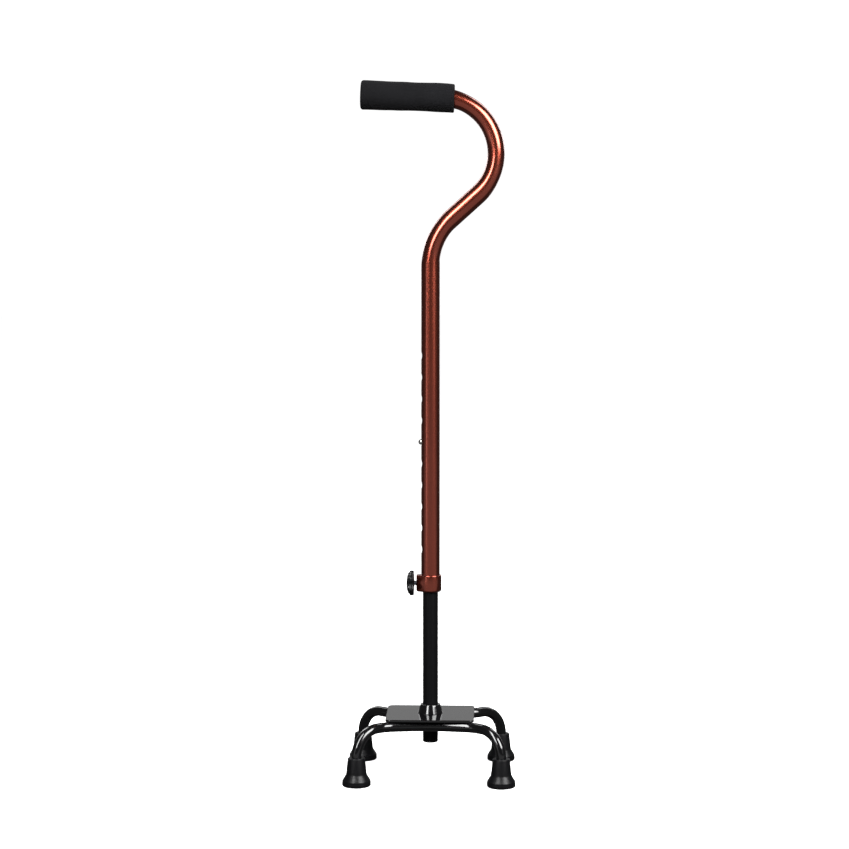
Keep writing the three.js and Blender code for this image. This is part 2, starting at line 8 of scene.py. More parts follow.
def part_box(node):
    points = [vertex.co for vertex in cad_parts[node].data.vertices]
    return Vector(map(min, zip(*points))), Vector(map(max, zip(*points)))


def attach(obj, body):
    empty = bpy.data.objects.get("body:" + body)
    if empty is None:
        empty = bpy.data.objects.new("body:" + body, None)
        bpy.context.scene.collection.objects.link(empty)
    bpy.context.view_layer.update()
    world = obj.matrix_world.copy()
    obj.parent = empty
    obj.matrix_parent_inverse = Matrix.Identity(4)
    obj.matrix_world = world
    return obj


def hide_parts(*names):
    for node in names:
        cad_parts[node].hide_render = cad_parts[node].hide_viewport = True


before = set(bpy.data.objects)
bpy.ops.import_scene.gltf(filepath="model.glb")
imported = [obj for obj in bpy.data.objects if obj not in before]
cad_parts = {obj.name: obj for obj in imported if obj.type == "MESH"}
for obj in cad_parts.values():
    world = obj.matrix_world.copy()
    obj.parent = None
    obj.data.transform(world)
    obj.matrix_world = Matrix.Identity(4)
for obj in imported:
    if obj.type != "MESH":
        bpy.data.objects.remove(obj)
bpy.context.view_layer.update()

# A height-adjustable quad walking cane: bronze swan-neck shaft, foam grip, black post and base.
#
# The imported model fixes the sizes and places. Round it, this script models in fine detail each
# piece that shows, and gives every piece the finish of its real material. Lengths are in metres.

MM = 0.001
TURN = 2 * math.pi
Y_AXIS = Vector((0, 1, 0))
Z_AXIS = Vector((0, 0, 1))

# ---------------------------------------------------------------- sizes that the frame gives

SHAFT_LOW, SHAFT_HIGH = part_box("upper_shaft")
POST_LOW, POST_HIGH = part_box("lower_shaft")
PLATE_LOW, PLATE_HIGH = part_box("base_plate")
HUB_LOW, HUB_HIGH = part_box("base_hub")
COLLAR_LOW, COLLAR_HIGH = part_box("clamp_collar")
KNOB_LOW, KNOB_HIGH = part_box("lock_knob")
SCREW_LOW, SCREW_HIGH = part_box("lock_screw")
BUTTON_LOW, BUTTON_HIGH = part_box("snap_button")
POST_PLUG_LOW, POST_PLUG_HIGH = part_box("shaft_bottom_plug")
LEG_LOW, LEG_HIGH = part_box("front_leg_tube")
TIP_LOW, TIP_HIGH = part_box("front_right_tip")

SHAFT_RADIUS = SHAFT_HIGH.y
POST_RADIUS = POST_HIGH.y
SCREW_RADIUS = SCREW_HIGH.y
BUTTON_RADIUS = (BUTTON_HIGH.z - BUTTON_LOW.z) / 2
BUTTON_HEIGHT = (BUTTON_HIGH.z + BUTTON_LOW.z) / 2
SCREW_HEIGHT = (KNOB_HIGH.z + KNOB_LOW.z) / 2
FOOT_X = (TIP_LOW.x + TIP_HIGH.x) / 2
FOOT_Y = -(TIP_LOW.y + TIP_HIGH.y) / 2
LEG_RADIUS = LEG_HIGH.x - FOOT_X

# ---------------------------------------------------------------- sizes of the bends and details

FIT = 0.1 * MM  # the gap left round a piece that passes through another
TUBE_WALL = 1.2 * MM
HOLE_COUNT = 10
HOLE_PITCH = 25.4 * MM
REST_HOLE = 5  # the hole that the button stands in, counted from the top one
HOLE_RADIUS = BUTTON_RADIUS + 0.4 * MM
SCREW_HOLE_RADIUS = SCREW_RADIUS + 0.4 * MM
COUNTERSINK = 0.12 * MM
DRILL_OVERRUN = 3 * MM
BEND_ABOVE_TOP_HOLE = 105 * MM
LOWER_BEND_RADIUS = 74 * MM
LOWER_BEND_ANGLE = math.radians(48)
NECK_STRAIGHT = 41 * MM
HOOK_RADIUS = 64.5 * MM
GRIP_SLOPE = math.radians(2)
HOOK_ANGLE = LOWER_BEND_ANGLE + TURN / 4 - GRIP_SLOPE
HANDLE_STRAIGHT = 92 * MM
LOWER_BEND_FLATTENING = 0.05
HOOK_FLATTENING = 0.09
FLATTENING_FADE = 0.2  # share of a bend over which its flattening starts, and ends

GRIP_LENGTH = 109 * MM
GRIP_OVERHANG = 3.3 * MM
GRIP_RADII = (16.7 * MM, 16.4 * MM, 17.1 * MM)  # inner end, waist, outer end
GRIP_EDGE = 3.2 * MM
GRIP_INNER_EDGE = 1.6 * MM
GRIP_WAVE = 0.45 * MM
GRIP_WAVES_PER_METRE = 38
GRIP_RIPPLES_PER_METRE = 85
GRIP_DROOP = 0.35  # share of the tube's bend that the foam's end follows
GRIP_BORE_OVERRUN = 20 * MM

PLUG_DEPTH = 14 * MM
PLUG_SINK = 1 * MM  # how far the plug's head lies inside the foam's end
PLUG_DIMPLE = 4 * MM

COLLAR_EDGE = 0.8 * MM
COLLAR_FOOT = 2.6 * MM
COLLAR_LIP = 1.3 * MM
COLLAR_SIDES = 128
BOSS_HALF_WIDTH = 4.4 * MM

THREAD_PITCH = 1 * MM
THREAD_DEPTH = 0.45 * MM
# A thread's section: whether each point is on the crest, and how far it lies along the pitch.
THREAD_SECTION = ((False, 0.06), (True, 0.44), (True, 0.56), (False, 0.94))

KNOB_LOBES = 6
KNOB_LOBE_DEPTH = 4.2 * MM
KNOB_NECK = 5.2 * MM
KNOB_BACK_RING = 0.5 * MM
KNOB_BACK_EDGE = (1.2 * MM, 0.9 * MM)  # the rounded edge's width and height
KNOB_FRONT_EDGE = (1.8 * MM, 1.4 * MM)
KNOB_RIM_HEIGHT = 4.2 * MM
KNOB_CROWN = (0.82, 0.72, 0.62, 0.5, 0.38, 0.26, 0.14, 0.05)  # shares of its half width, out to in
KNOB_CROWN_RIM = 0.88  # the share at the rim's inner edge
KNOB_CROWN_BASE = 0.9  # the share at which the crown's ellipse would come down level with it

POST_PLUG_EDGE = 1.2 * MM
BUTTON_HEAD_RADIUS = 3.3 * MM
BUTTON_FLANGE = 1.3 * MM

PLATE_CORNER = 6 * MM
PLATE_EDGE = 0.9 * MM
HUB_FOOT = 1.2 * MM
HUB_SHOULDER = 2.2 * MM
HUB_SHOULDER_RADIUS = 12.3 * MM
HUB_RIM_RADIUS = 11.9 * MM
HUB_EDGE = 1.2 * MM

LEG_AXIS_HEIGHT = PLATE_LOW.z - LEG_RADIUS
LEG_UPRIGHT = 0.2 * MM
LEG_DROP_RADIUS = LEG_AXIS_HEIGHT - TIP_HIGH.z - LEG_UPRIGHT
LEG_KNEE_RADIUS = 34 * MM
LEG_KNEE_STRAIGHT = 3 * MM
LEG_MIDDLE_RADIUS = 150 * MM
LEG_SPLAY = math.radians(41)
LEG_SWEEP = math.radians(10)

TIP_SOLE = 14.5 * MM
TIP_SOLE_EDGE = 2 * MM
TIP_FOOT_HEIGHT = 6.3 * MM
TIP_FLARE_HEIGHT = 14.1 * MM
TIP_NECK = 11.95 * MM
TIP_MOUTH = 10.1 * MM
TIP_MOUTH_EDGE = 1 * MM
TIP_SOCKET = 20 * MM
TREAD_DIMPLE = 1 * MM
TREAD_DEPTH = 1.1 * MM
TREAD_GROOVES = (4.6 * MM, 8.2 * MM, 11.8 * MM)

# ---------------------------------------------------------------- camera and light

CAMERA_PLACE = Vector((0.0781, -2.755, 0.6519))
CAMERA_TARGET = Vector((-0.00705, 0, 0.4155))
CAMERA_LENS = 99.83
CAMERA_SENSOR = 36
LIGHT_AIM = Vector((0, 0, 0.45))
STAGE_RADIUS = 14
FLOOR_GAP = 0.2 * MM  # keeps the floor just clear of the soles


def make_camera():
    """A long lens in front of the cane, a little to the right and above its middle."""
    bpy.ops.object.camera_add(location=CAMERA_PLACE)
    camera = bpy.context.object
    camera.name = "camera"
    camera.rotation_euler = (CAMERA_TARGET - CAMERA_PLACE).to_track_quat("-Z", "Y").to_euler()
    camera.data.lens = CAMERA_LENS
    camera.data.sensor_width = CAMERA_SENSOR
    camera.data.clip_end = 100
    bpy.context.scene.camera = camera


def area_light(name, place, rotation, width, height, brightness):
    """A rectangular light. Its power goes with its area, so its face is as bright at any size."""
    bpy.ops.object.light_add(type="AREA", location=place)
    light = bpy.context.object
    light.name = name
    light.rotation_euler = rotation
    light.data.shape = "RECTANGLE"
    light.data.size = width
    light.data.size_y = height
    light.data.energy = 4 * brightness * width * height


def softbox(name, azimuth, elevation, distance, width, height, brightness):
    """A light that faces the cane. Azimuth 0 is in front, and positive is to the right."""
    turn = math.radians(azimuth)
    rise = math.radians(elevation)
    level = math.cos(rise)
    away = Vector((math.sin(turn) * level, -math.cos(turn) * level, math.sin(rise)))
    rotation = (-away).to_track_quat("-Z", "Y").to_euler()
    area_light(name, LIGHT_AIM + away * distance, rotation, width, height, brightness)


def light_studio():
    """Two high keys for the streaks, low fills, lights behind for the rims, a glow from below."""
    # name, azimuth, elevation, distance, width, height, brightness
    softbox("key_left", -30, 38, 2.2, 0.66, 2.3, 11)
    softbox("key_right", 47, 31, 2.2, 1.3, 1.45, 11)
    softbox("low_left", -47, -2, 2.4, 0.5, 0.75, 0.85)
    softbox("low_right", 48, 2, 2.4, 0.6, 0.55, 0.4)
    softbox("back_left", -150, 30, 2.4, 0.4, 1.8, 3)
    softbox("back_right", 150, 30, 2.4, 0.4, 1.8, 3)
    softbox("back_low_left", -157, 0, 2.4, 0.45, 0.9, 0.8)
    softbox("back_low_right", 157, 0, 2.4, 0.45, 0.9, 0.8)
    softbox("back_card", 180, 6, 2.4, 2.6, 0.9, 0.24)
    area_light("floor_glow", (0, -3.8, -0.03), (math.pi, 0, 0), 8, 7, 0.24)


# ---------------------------------------------------------------- colours and shader nodes


def linear(hex_colour):
    """An sRGB hex colour as the linear colour that a shader takes."""
    channels = [int(hex_colour[i : i + 2], 16) / 255 for i in (1, 3, 5)]
    return [c / 12.92 if c <= 0.04045 else ((c + 0.055) / 1.055) ** 2.4 for c in channels] + [1]


def add_node(tree, kind, settings=None, inputs=None):
    """A shader node with its own settings, and inputs that are values or (node, output) links."""
    made = tree.nodes.new(kind)
    for name, value in (settings or {}).items():
        setattr(made, name, value)
    for name, value in (inputs or {}).items():
        if isinstance(value, tuple) and isinstance(value[0], bpy.types.Node):
            tree.links.new(value[0].outputs[value[1]], made.inputs[name])
        else:
            made.inputs[name].default_value = value
    return made


def new_material(name):
    """An empty node material, and its tree."""
    material = bpy.data.materials.new(name)
    material.use_nodes = True
    material.node_tree.nodes.clear()
    return material, material.node_tree


def patterned(name, colours, roughness, grain, bump, shader, stretch=(1, 1, 1), patch=25 * MM):
    """A material whose colour drifts between two tones over each patch, with a fine grain.

    Grain is the size of its grain, and bump how deep it is. Both are lengths. Roughness is a low
    and a high value that the grain moves between. Shader holds the constant settings.
    """
    material, tree = new_material(name)
    place = add_node(tree, "ShaderNodeTexCoord")
    stretched = add_node(
        tree,
        "ShaderNodeMapping",
        inputs={"Vector": (place, "Object"), "Scale": stretch},
    )
    drift = add_node(
        tree,
        "ShaderNodeTexNoise",
        inputs={"Vector": (stretched, "Vector"), "Scale": 1 / patch, "Detail": 3},
    )
    tone = add_node(
        tree,
        "ShaderNodeMix",
        {"data_type": "RGBA"},
        {0: (drift, "Fac"), 6: linear(colours[0]), 7: linear(colours[1])},
    )
    fine = add_node(
        tree,
        "ShaderNodeTexNoise",
        inputs={"Vector": (stretched, "Vector"), "Scale": 1 / grain, "Detail": 2},
    )
    rough = add_node(
        tree,
        "ShaderNodeMapRange",
        inputs={"Value": (fine, "Fac"), "To Min": roughness[0], "To Max": roughness[1]},
    )
    relief = add_node(
        tree,
        "ShaderNodeBump",
        inputs={"Height": (fine, "Fac"), "Strength": 1, "Distance": bump},
    )
    surface = add_node(
        tree,
        "ShaderNodeBsdfPrincipled",
        inputs={
            "Base Color": (tone, 2),
            "Roughness": (rough, "Result"),
            "Normal": (relief, "Normal"),
            **shader,
        },
    )
    add_node(tree, "ShaderNodeOutputMaterial", inputs={"Surface": (surface, "BSDF")})
    return material


# ---------------------------------------------------------------- materials


def make_materials():
    """Every finish on the cane, by a short name."""
    return {
        # Drawn aluminium under a metallic lacquer and a clear coat: deep red-brown in the shade, with
        # coppery bands and paler streaks where it mirrors the lights. Its flake is far finer than
        # this grain, which is drawn as coarse as it needs to show.
        "bronze_lacquer": patterned(
            "bronze_lacquered_aluminium",
            ("#9b402b", "#a5462f"),
            (0.23, 0.26),
            0.45 * MM,
            0.0005 * MM,
            {"Metallic": 1, "Coat Weight": 1, "Coat Roughness": 0.17},
            patch=60 * MM,
        ),
        # Closed-cell foam rubber, cut from an extruded sleeve: matt, near-black, faintly pitted. The
        # cells are drawn a few times their size, so that they show.
        "foam": patterned(
            "closed_cell_foam_rubber",
            ("#101011", "#171719"),
            (0.85, 1),
            1.1 * MM,
            0.25 * MM,
            {"Specular IOR Level": 0.05, "Sheen Weight": 0.02, "Sheen Roughness": 0.5},
        ),
        # Moulded rubber: black with a soft broad shine, slightly mottled by the mould.
        "rubber": patterned(
            "moulded_black_rubber",
            ("#08080a", "#0d0d0f"),
            (0.3, 0.42),
            1.4 * MM,
            0.06 * MM,
            {"Specular IOR Level": 0.27},
        ),
        # Stoved gloss enamel on steel: black, with sharp reflections and a faint orange peel.
        "gloss_enamel": patterned(
            "stoved_gloss_black_enamel",
            ("#070708", "#0b0b0c"),
            (0.1, 0.16),
            3 * MM,
            0.015 * MM,
            {"Coat Weight": 0.6, "Coat Roughness": 0.04},
        ),
        # Satin powder coat on steel: an even near-black with a fine dry texture.
        "satin_powder": patterned(
            "satin_black_powder_coat",
            ("#08080a", "#0b0b0c"),
            (0.5, 0.62),
            0.8 * MM,
            0.02 * MM,
            {"Specular IOR Level": 0.08},
        ),
        # Glass-filled nylon, moulded: black with a soft shine.
        "moulded_plastic": patterned(
            "moulded_black_nylon",
            ("#0c0c0d", "#121213"),
            (0.2, 0.3),
            0.9 * MM,
            0.02 * MM,
            {"Specular IOR Level": 0.5},
        ),
        # Natural nylon, moulded: milky off-white.
        "natural_nylon": patterned(
            "natural_nylon",
            ("#d9d5c6", "#e2dfd2"),
            (0.4, 0.5),
            1 * MM,
            0.01 * MM,
            {"Subsurface Weight": 0.1, "Subsurface Radius": (1 * MM, 1 * MM, 1 * MM)},
        ),
        # Nickel plate on steel: bright silver, a little rubbed.
        "nickel": patterned(
            "nickel_plated_steel",
            ("#c9c7c1", "#d6d5d0"),
            (0.14, 0.26),
            0.7 * MM,
            0.004 * MM,
            {"Metallic": 1},
        ),
        # Zinc plate on steel: blue-grey silver, a little cloudy.
        "zinc": patterned(
            "zinc_plated_steel",
            ("#85898f", "#979ba1"),
            (0.28, 0.42),
            1.2 * MM,
            0.005 * MM,
            {"Metallic": 1},
            patch=4 * MM,
        ),
        # Tempered spring strip: dull blue-grey with rolling marks along it.
        "spring_steel": patterned(
            "tempered_spring_steel",
            ("#6f737a", "#838790"),
            (0.3, 0.45),
            0.6 * MM,
            0.004 * MM,
            {"Metallic": 1},
            stretch=(1, 1, 0.1),
        ),
    }


# ---------------------------------------------------------------- modelling helpers


def deselect():
    """Leaves nothing selected, so that an operator acts on what comes next only."""
    bpy.ops.object.select_all(action="DESELECT")


def hold(piece):
    """Makes a piece the only one selected, and the active one."""
    deselect()
    piece.select_set(True)
    bpy.context.view_layer.objects.active = piece


def apply_place(piece):
    """Moves a piece's place into its mesh, and leaves its object at the origin."""
    hold(piece)
    bpy.ops.object.transform_apply(location=True, rotation=True, scale=True)


def apply_modifier(piece, name, kind, **settings):
    """Gives a piece a modifier with its settings, and applies it."""
    modifier = piece.modifiers.new(name, kind)
    for setting, value in settings.items():
        setattr(modifier, setting, value)
    hold(piece)
    bpy.ops.object.modifier_apply(modifier=name)


def cut(piece, *cutters):
    """Takes closed cutters, clear of each other, out of a piece."""
    deselect()
    for cutter in cutters:
        cutter.select_set(True)
    bpy.context.view_layer.objects.active = cutters[0]
    if len(cutters) > 1:
        bpy.ops.object.join()
    apply_modifier(piece, "cut", "BOOLEAN", operation="DIFFERENCE", solver="EXACT", object=cutters[0])
    bpy.data.objects.remove(cutters[0])


def close_up(piece, fill=False):
    """Joins doubled points, fills open ends if asked, and turns the faces outwards."""
    hold(piece)
    bpy.ops.object.mode_set(mode="EDIT")
    bpy.ops.mesh.select_all(action="SELECT")
    bpy.ops.mesh.remove_doubles(threshold=0.001 * MM)
    if fill:
        bpy.ops.mesh.fill_holes(sides=0)
    bpy.ops.mesh.select_all(action="SELECT")
    bpy.ops.mesh.normals_make_consistent(inside=False)
    bpy.ops.object.mode_set(mode="OBJECT")


def set_ring(piece, outline):
    """Puts the selected ring, round the Z axis, at the radius that outline gives for each angle."""
    mesh = bmesh.from_edit_mesh(piece.data)
    for point in mesh.verts:
        if point.select:
            angle = math.atan2(point.co.y, point.co.x)
            radius = outline(angle)
            point.co.x = radius * math.cos(angle)
            point.co.y = radius * math.sin(angle)
    bmesh.update_edit_mesh(piece.data)


def turned(name, profile, sides=64, place=Matrix()):
    """A piece drawn up ring by ring round the Z axis, then put in its place.

    Each step of the profile is (radius, height), where a radius can be a number or a function of
    the angle. A last radius of 0 closes the piece in a point. A profile that ends where it starts
    makes a hollow piece, and other open ends are filled flat.
    """
    deselect()
    height = profile[0][1]
    bpy.ops.mesh.primitive_circle_add(vertices=sides, radius=MM, location=(0, 0, height))
    piece = bpy.context.object
    piece.name = name
    bpy.ops.object.transform_apply(location=True, rotation=False, scale=False)
    bpy.ops.object.mode_set(mode="EDIT")
    for i, (radius, top) in enumerate(profile):
        if i > 0:
            bpy.ops.mesh.extrude_region_move(TRANSFORM_OT_translate={"value": (0, 0, top - height)})
            height = top
        if radius == 0:
            bpy.ops.mesh.merge(type="CENTER")
        else:
            set_ring(piece, radius if callable(radius) else lambda angle, radius=radius: radius)
    bpy.ops.object.mode_set(mode="OBJECT")
    close_up(piece, fill=profile[0] != profile[-1])
    piece.matrix_world = place
    apply_place(piece)
    return piece


def arc(centre, radius, start, end, steps=6):
    """Profile steps on an arc in degrees: 0 points outwards and 90 up."""
    angles = [math.radians(start + (end - start) * i / steps) for i in range(steps + 1)]
    return [(centre[0] + radius * math.cos(a), centre[1] + radius * math.sin(a)) for a in angles]


def quarter_turn(steps):
    """The angles from 0 to a quarter turn, in even steps."""
    return [i * TURN / 4 / steps for i in range(steps + 1)]


class Route:
    """A tube's centreline, as a bender is set: straights and bends, one after another."""

    def __init__(self, start, heading):
        self.start = Vector(start)
        self.first_heading = Vector(heading).normalized()
        self.at = self.start.copy()
        self.heading = self.first_heading.copy()
        self.steps = []

    def straight(self, length, rings=1):
        for _ in range(rings):
            self.steps.append(("straight", self.heading * (length / rings)))
        self.at = self.at + self.heading * length
        return self

    def bend(self, radius, angle, axis, step=math.radians(3)):
        """A positive angle turns the heading round the axis by the right-hand rule."""
        centre = self.at + axis.cross(self.heading).normalized() * math.copysign(radius, angle)
        rings = math.ceil(abs(angle) / step)
        self.steps.append(("bend", centre, axis.copy(), angle, rings))
        turn = Matrix.Rotation(angle, 3, axis)
        self.at = centre + turn @ (self.at - centre)
        self.heading = turn @ self.heading
        return self


def tube(name, route, radius, sides=64):
    """An open tube surface: a ring extruded along a route's straights and spun round its bends."""
    deselect()
    facing = route.first_heading.to_track_quat("Z", "X").to_euler()
    bpy.ops.mesh.primitive_circle_add(
        vertices=sides, radius=radius, location=route.start, rotation=facing
    )
    piece = bpy.context.object
    piece.name = name
    bpy.ops.object.mode_set(mode="EDIT")
    for kind, *step in route.steps:
        if kind == "straight":
            bpy.ops.mesh.extrude_region_move(TRANSFORM_OT_translate={"value": step[0]})
        else:
            centre, axis, angle, rings = step
            bpy.ops.mesh.spin(steps=rings, angle=-angle, center=centre, axis=axis)
    bpy.ops.object.mode_set(mode="OBJECT")
    apply_place(piece)
    close_up(piece)
    return piece


def bevel_edges(piece, chosen, width, segments):
    """Rounds the edges whose two ends the test accepts, where faces meet at an angle."""
    hold(piece)
    bpy.ops.object.mode_set(mode="EDIT")
    bpy.ops.mesh.select_mode(type="EDGE")
    bpy.ops.mesh.select_all(action="DESELECT")
    mesh = bmesh.from_edit_mesh(piece.data)
    for edge in mesh.edges:
        a, b = (point.co for point in edge.verts)
        if len(edge.link_faces) == 2 and edge.calc_face_angle() > math.radians(30) and chosen(a, b):
            edge.select_set(True)
    bmesh.update_edit_mesh(piece.data)
    bpy.ops.mesh.bevel(offset=width, segments=segments, affect="EDGES")
    bpy.ops.mesh.select_mode(type="VERT")
    bpy.ops.object.mode_set(mode="OBJECT")


def press_bend(piece, centre, radius, start, sweep, share):
    """Flattens a bend in the XZ plane towards its centreline, as bending does.

    The bend starts at an angle round the centre and runs through a sweep. The flattening fades in
    at its start and out at its end.
    """
    for point in piece.data.vertices:
        x = point.co.x - centre.x
        z = point.co.z - centre.z
        reach = math.hypot(x, z)
        along = ((math.atan2(z, x) - start) * math.copysign(1, sweep)) % TURN / abs(sweep)
        if along > 1 or abs(reach - radius) > SHAFT_RADIUS + MM:
            continue
        fade = min(1, min(along, 1 - along) / FLATTENING_FADE)
        fade = fade * fade * (3 - 2 * fade)
        pressed = radius + (reach - radius) * (1 - share * fade)
        point.co.x = centre.x + x * pressed / reach
        point.co.z = centre.z + z * pressed / reach


def finish(piece, body, slot, material, *nodes, edge=32):
    """Smooths a piece but for edges sharper than the angle, coats it and hangs it on its body."""
    hold(piece)
    bpy.ops.object.shade_smooth_by_angle(angle=math.radians(edge))
    piece.data.materials.clear()
    piece.data.materials.append(MATERIALS[material])
    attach(piece, body)
    if nodes:
        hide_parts(*nodes)
    return piece


# ---------------------------------------------------------------- upper shaft


def hole_height(number):
    """The height of a snap hole, counted from the top one."""
    return BUTTON_HEIGHT + (REST_HOLE - number) * HOLE_PITCH


BEND_START = hole_height(1) + BEND_ABOVE_TOP_HOLE


def neck_route():
    """The shaft's centreline from its lower end to where the handle's straight starts."""
    return (
        Route((0, 0, SHAFT_LOW.z), Z_AXIS)
        .straight(BEND_START - SHAFT_LOW.z, rings=60)
        .bend(LOWER_BEND_RADIUS, LOWER_BEND_ANGLE, Y_AXIS)
        .straight(NECK_STRAIGHT, rings=7)
        .bend(HOOK_RADIUS, -HOOK_ANGLE, Y_AXIS)
    )


NECK = neck_route()
HOOK_CENTRE = NECK.steps[-1][1]
HANDLE_START = NECK.at
HANDLE_ALONG = NECK.heading
# The handle's own frame: its Z axis runs out along the tube, and the tube ends at z = 0.
HANDLE_END = Matrix.Translation(HANDLE_START + HANDLE_ALONG * HANDLE_STRAIGHT)
HANDLE_PLACE = HANDLE_END @ Matrix.Rotation(GRIP_SLOPE - TURN / 4, 4, "Y")


def facing_left(height):
    """The frame of a piece whose Z axis points to -X at a height."""
    return Matrix.Translation((0, 0, height)) @ Matrix.Rotation(-TURN / 4, 4, "Y")


def hole_cutter(name, radius, height, outside):
    """A drill with a countersink that opens out at the tube's outside."""
    return turned(
        name,
        [
            (radius, 0),
            (radius, outside - COUNTERSINK),
            (radius + COUNTERSINK, outside),
            (radius + COUNTERSINK, outside + DRILL_OVERRUN),
        ],
        sides=32,
        place=facing_left(height),
    )


def upper_shaft():
    """The swan-neck tube, flattened a little in its bends, with its snap holes and screw hole."""
    route = neck_route().straight(HANDLE_STRAIGHT, rings=15)
    piece = tube("bronze_shaft", route, SHAFT_RADIUS)
    lower_centre = Vector((LOWER_BEND_RADIUS, 0, BEND_START))
    press_bend(
        piece, lower_centre, LOWER_BEND_RADIUS, TURN / 2, -LOWER_BEND_ANGLE, LOWER_BEND_FLATTENING
    )
    press_bend(piece, HOOK_CENTRE, HOOK_RADIUS, -LOWER_BEND_ANGLE, HOOK_ANGLE, HOOK_FLATTENING)
    apply_modifier(piece, "wall", "SOLIDIFY", thickness=TUBE_WALL, offset=-1)
    cutters = [
        hole_cutter(f"drill_{number}", HOLE_RADIUS, hole_height(number), SHAFT_RADIUS)
        for number in range(1, HOLE_COUNT + 1)
    ]
    cutters.append(hole_cutter("screw_drill", SCREW_HOLE_RADIUS, SCREW_HEIGHT, SHAFT_RADIUS))
    cut(piece, *cutters)
    finish(piece, "upper", "bronze_aluminium", "bronze_lacquer", "upper_shaft")


# ---------------------------------------------------------------- foam grip and its plug


def foam_grip():
    """A foam sleeve pushed over the tube's end, a little wavy, with its inner end drooping."""
    inner, waist, outer = GRIP_RADII
    rings = 90
    low = GRIP_OVERHANG - GRIP_LENGTH + GRIP_INNER_EDGE
    high = GRIP_OVERHANG - GRIP_EDGE
    profile = arc((inner - GRIP_INNER_EDGE, low), GRIP_INNER_EDGE, -90, 0, steps=8)
    for i in range(1, rings):
        t = i / rings
        radius = inner * (1 - t) ** 2 + 2 * waist * t * (1 - t) + outer * t**2
        profile.append((radius, low + (high - low) * t))
    profile += arc((outer - GRIP_EDGE, high), GRIP_EDGE, 0, 90, steps=8)
    piece = turned("foam_sleeve", profile, sides=96)
    for point in piece.data.vertices:
        if math.hypot(point.co.x, point.co.y) < inner - GRIP_EDGE:
            continue
        wave = noise.noise(point.co * GRIP_WAVES_PER_METRE)
        wave += 0.5 * noise.noise(point.co * GRIP_RIPPLES_PER_METRE)
        out = Vector((point.co.x, point.co.y, 0)).normalized()
        point.co += out * GRIP_WAVE * wave
    piece.matrix_world = HANDLE_PLACE
    apply_place(piece)
    up = Y_AXIS.cross(HANDLE_ALONG)
    for point in piece.data.vertices:
        past = -(point.co - HANDLE_START).dot(HANDLE_ALONG)
        if past > 0:
            drop = HOOK_RADIUS - math.sqrt(HOOK_RADIUS**2 - past**2)
            point.co -= up * (GRIP_DROOP * drop)
    bore_route = neck_route().straight(HANDLE_STRAIGHT + GRIP_BORE_OVERRUN, rings=4)
    bore = tube("grip_bore", bore_route, SHAFT_RADIUS + FIT / 2)
    close_up(bore, fill=True)
    cut(piece, bore)
    finish(piece, "upper", "black_foam", "foam", "handle_grip", edge=50)


def handle_plug():
    """A push-in plug: a plain spigot, and a low head with a round dimple from the mould."""
    high = GRIP_OVERHANG - PLUG_SINK
    spigot = SHAFT_RADIUS - TUBE_WALL - 3 * FIT
    head = SHAFT_RADIUS - FIT / 2
    seat = 0.3 * MM
    edge = 0.8 * MM
    sink = 0.4 * MM
    profile = [(spigot - MM, -PLUG_DEPTH), (spigot, MM - PLUG_DEPTH), (spigot, seat), (head, seat)]
    profile += arc((head - edge, high - edge), edge, 0, 80, steps=5)
    profile += [(PLUG_DIMPLE, high), (PLUG_DIMPLE - sink, high - sink), (0, high - sink)]
    piece = turned("grip_end_plug", profile, place=HANDLE_PLACE)
    finish(piece, "upper", "black_plastic", "moulded_plastic", "handle_end_plug")


# ---------------------------------------------------------------- collar, screw and knob


def collar_outline(inset):
    """The collar from above: round, with straight flanks that run out to the flat boss.

    The outline goes by angle from +X, and the boss is on the -X side.
    """
    radius = COLLAR_HIGH.x - inset
    face = -COLLAR_LOW.x - inset
    half = BOSS_HALF_WIDTH - inset
    corner = TURN / 2 - math.atan2(half, face)
    touch = corner - math.acos(radius / math.hypot(face, half))

    def outline(angle):
        turn = abs(angle)
        if abs(turn - corner) < TURN / (2 * COLLAR_SIDES):  # the nearest point makes a true corner
            turn = corner
        if turn <= touch:
            return radius
        flank = radius / math.cos(turn - touch)
        return flank if turn <= corner else min(flank, face / math.cos(TURN / 2 - turn))

    return outline


def collar():
    """The lacquered collar that clamps the two tubes, with its screw boss and a rounded foot."""
    low, high = COLLAR_LOW.z, COLLAR_HIGH.z
    mouth = POST_RADIUS + 3 * FIT
    seat = SHAFT_RADIUS + 0.08 * MM
    shelf = low + COLLAR_LIP
    profile = [(mouth, low)]
    for turn in quarter_turn(4):
        outline = collar_outline(COLLAR_FOOT * (1 - math.sin(turn)))
        profile.append((outline, low + COLLAR_FOOT * (1 - math.cos(turn))))
    for turn in quarter_turn(4):
        outline = collar_outline(COLLAR_EDGE * (1 - math.cos(turn)))
        profile.append((outline, high - COLLAR_EDGE * (1 - math.sin(turn))))
    profile += [(seat, high), (seat, shelf), (mouth, shelf), (mouth, low)]
    piece = turned("bronze_collar", profile, sides=COLLAR_SIDES)
    cut(piece, hole_cutter("boss_drill", SCREW_RADIUS + 0.35 * MM, SCREW_HEIGHT, -COLLAR_LOW.x))
    finish(piece, "upper", "bronze_aluminium", "bronze_lacquer", "clamp_collar")


def lock_screw():
    """A rod with a rolled thread round it, from the pad to inside the knob."""
    root = SCREW_RADIUS - THREAD_DEPTH
    low, high = -SCREW_HIGH.x, -SCREW_LOW.x
    rod = [(root, low), (root, high)]
    piece = turned("threaded_screw", rod, sides=48, place=facing_left(SCREW_HEIGHT))
    thread = thread_ridge(root - 0.1 * MM, low, high)
    hold(piece)
    thread.select_set(True)
    bpy.ops.object.join()
    finish(piece, "lock_knob", "zinc_plated_steel", "zinc", "lock_screw")


